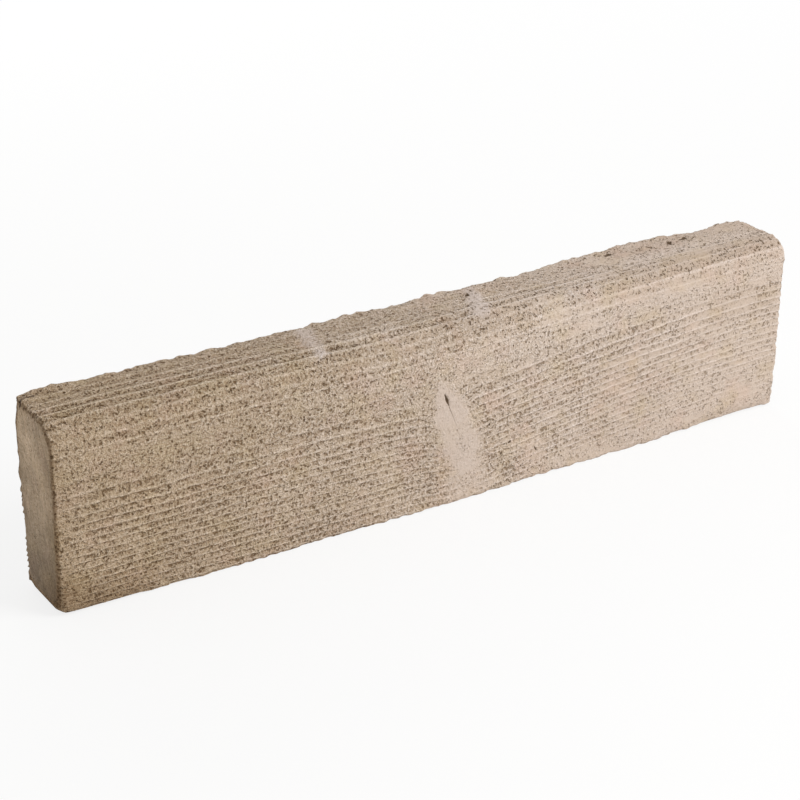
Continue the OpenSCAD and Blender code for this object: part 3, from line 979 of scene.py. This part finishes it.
def castConcrete():
    material = bpy.data.materials.new("castConcrete")
    material.use_nodes = True
    tree = material.node_tree
    tree.nodes.clear()
    at = surfaceFields(tree)
    coarse = coarseness(tree, at)
    pit = pits(tree, at, coarse)
    grit = grains(tree, at, coarse)
    colour = groundColour(tree, at)
    light = lightness(tree, at, grit, pit)

    # Lower lightness, from grit, pits and painted shade, goes browner, and higher, from grains and painted
    # highlight, paler, since red fades less than blue
    tinted = addNode(tree, "ShaderNodeCombineXYZ", {
        channel: addNode(tree, "ShaderNodeMath", {0: light, 1: power}, operation="POWER")
        for channel, power in enumerate(concrete["fading"])})
    colour = addNode(tree, "ShaderNodeVectorMath", {0: colour, 1: tinted}, operation="MULTIPLY")
    # painted shade: openings and fine marks take the dark opening colour
    gap = nearestOf(tree, at["spot"], openings + fineMarks)
    opening = addNode(tree, "ShaderNodeMapRange", {0: gap, **finishRamps["opening"]})
    colour = addNode(tree, "ShaderNodeMix", {0: opening, 6: colour, 7: hexColour(concrete["opening"])},
                     data_type="RGBA")

    sunk = addNode(tree, "ShaderNodeMath", {0: pit, 1: concrete["pitBump"]}, operation="MULTIPLY")
    rough = addNode(tree, "ShaderNodeMath", {0: grit, 1: sunk}, operation="SUBTRACT")
    bump = addNode(tree, "ShaderNodeBump", {"Height": rough, "Distance": concrete["bump"], "Strength": 1.0})
    shader = addNode(tree, "ShaderNodeBsdfPrincipled", {
        "Base Color": colour.outputs[2], "Normal": bump, "Roughness": concrete["roughness"],
        "IOR": concrete["ior"], "Specular IOR Level": concrete["specular"]})
    addNode(tree, "ShaderNodeOutputMaterial", {"Surface": shader})
    return material


def makeStone():
    blank = makeBlank()
    material = castConcrete()
    tree, sockets = buildRelief(material)
    modifier = blank.modifiers.new("timberRelief", "NODES")
    modifier.node_group = tree
    for name, value in relief.items():
        modifier[sockets[name].identifier] = value
    shaped = blank.evaluated_get(bpy.context.evaluated_depsgraph_get())
    mesh = bpy.data.meshes.new_from_object(shaped)
    blank.modifiers.clear()
    old = blank.data
    blank.data = mesh
    bpy.data.meshes.remove(old)
    mesh.name = "kerbStone"
    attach(blank, "root")
    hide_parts("kerb_stone")
    triangles = sum(len(p.vertices) - 2 for p in mesh.polygons)
    print("stone:", len(mesh.vertices), "vertices,", triangles, "triangles")


makeStone()

# A plain pale floor and soft studio light; sizes in metres
studio = {
    "floor": "#f4f3f1",
    "floorSize": 6,
    "floorFade": {1: 0.4, 2: 1.6, 3: 0.8, 4: 1.0},    # pure white away from the stone's shadow
    "worldFill": 0.55,
    "aim": (0.1, 0, 0.07),
    "lamps": [
        {"name": "key", "place": (1.0, -1.4, 1.5), "size": 1.0, "power": 32},
        {"name": "backFill", "place": (0.4, 1.9, 0.7), "size": 1.4, "power": 12},
    ],
}


def whiteForCamera(tree):
    # 1 for what the camera sees, straight or through a glossy or clear surface
    path = addNode(tree, "ShaderNodeLightPath")
    seen = path.outputs["Is Camera Ray"]
    for name in ("Is Glossy Ray", "Is Transmission Ray"):
        seen = addNode(tree, "ShaderNodeMath", {0: seen, 1: path.outputs[name]}, operation="MAXIMUM")
    return seen


def makeStudio():
    size = studio["floorSize"] / 2
    corners = [(-size, -size, 0), (size, -size, 0), (size, size, 0), (-size, size, 0)]
    mesh = bpy.data.meshes.new("floor")
    mesh.from_pydata(corners, [], [(0, 1, 2, 3)])
    floor = bpy.data.objects.new("floor", mesh)
    bpy.context.scene.collection.objects.link(floor)
    material = bpy.data.materials.new("paleFloor")
    material.use_nodes = True
    tree = material.node_tree
    tree.nodes.clear()
    matt = addNode(tree, "ShaderNodeBsdfDiffuse", {"Color": hexColour(studio["floor"])})
    white = addNode(tree, "ShaderNodeEmission", {"Color": (1, 1, 1, 1), "Strength": 1.0})
    spot = addNode(tree, "ShaderNodeTexCoord").outputs["Object"]
    away = addNode(tree, "ShaderNodeVectorMath", {0: spot}, operation="LENGTH")
    fade = addNode(tree, "ShaderNodeMapRange", {0: away.outputs["Value"], **studio["floorFade"]})
    share = addNode(tree, "ShaderNodeMath", {0: whiteForCamera(tree), 1: fade}, operation="MULTIPLY")
    mixed = addNode(tree, "ShaderNodeMixShader", {0: share, 1: matt, 2: white})
    addNode(tree, "ShaderNodeOutputMaterial", {"Surface": mixed})
    mesh.materials.append(material)

    world = bpy.data.worlds.new("studio")
    world.use_nodes = True
    tree = world.node_tree
    tree.nodes.clear()
    strength = addNode(tree, "ShaderNodeMapRange", {0: whiteForCamera(tree), 3: studio["worldFill"], 4: 1.0})
    sky = addNode(tree, "ShaderNodeBackground", {"Color": (1, 1, 1, 1), "Strength": strength})
    addNode(tree, "ShaderNodeOutputWorld", {"Surface": sky})
    bpy.context.scene.world = world

    for plan in studio["lamps"]:
        lamp = bpy.data.lights.new(plan["name"], "AREA")
        lamp.size = plan["size"]
        lamp.energy = plan["power"]
        light = bpy.data.objects.new(plan["name"], lamp)
        bpy.context.scene.collection.objects.link(light)
        light.location = plan["place"]
        light.rotation_euler = (Vector(studio["aim"]) - light.location).to_track_quat("-Z", "Y").to_euler()
    print("studio set")


makeStudio()

# The photo's viewpoint, from a fit of the stone's corners; angles in degrees, places in metres
view = {
    "azimuth": -33.07,
    "elevation": 26.21,
    "roll": 0.83,
    "distance": 1.722,
    "right": -0.023,
    "up": 0.0693,
    "lens": 97.3,
    "sensor": 36,
}


def makeCamera():
    turn = math.radians(view["azimuth"])
    rise = math.radians(view["elevation"])
    roll = math.radians(view["roll"])
    back = Vector((math.sin(turn) * math.cos(rise), -math.cos(turn) * math.cos(rise), math.sin(rise)))
    right = Vector((math.cos(turn), math.sin(turn), 0))
    up = back.cross(right)
    rolledRight = right * math.cos(roll) + up * math.sin(roll)
    rolledUp = up * math.cos(roll) - right * math.sin(roll)
    lens = bpy.data.cameras.new("camera")
    lens.sensor_width = view["sensor"]
    lens.lens = view["lens"]
    camera = bpy.data.objects.new("camera", lens)
    bpy.context.scene.collection.objects.link(camera)
    place = back * view["distance"] + rolledRight * view["right"] + rolledUp * view["up"]
    turned = Matrix((rolledRight, rolledUp, back)).transposed().to_4x4()
    camera.matrix_world = Matrix.Translation(place) @ turned
    bpy.context.scene.camera = camera
    print("camera set")


makeCamera()
bpy.context.scene.view_settings.view_transform = "Standard"
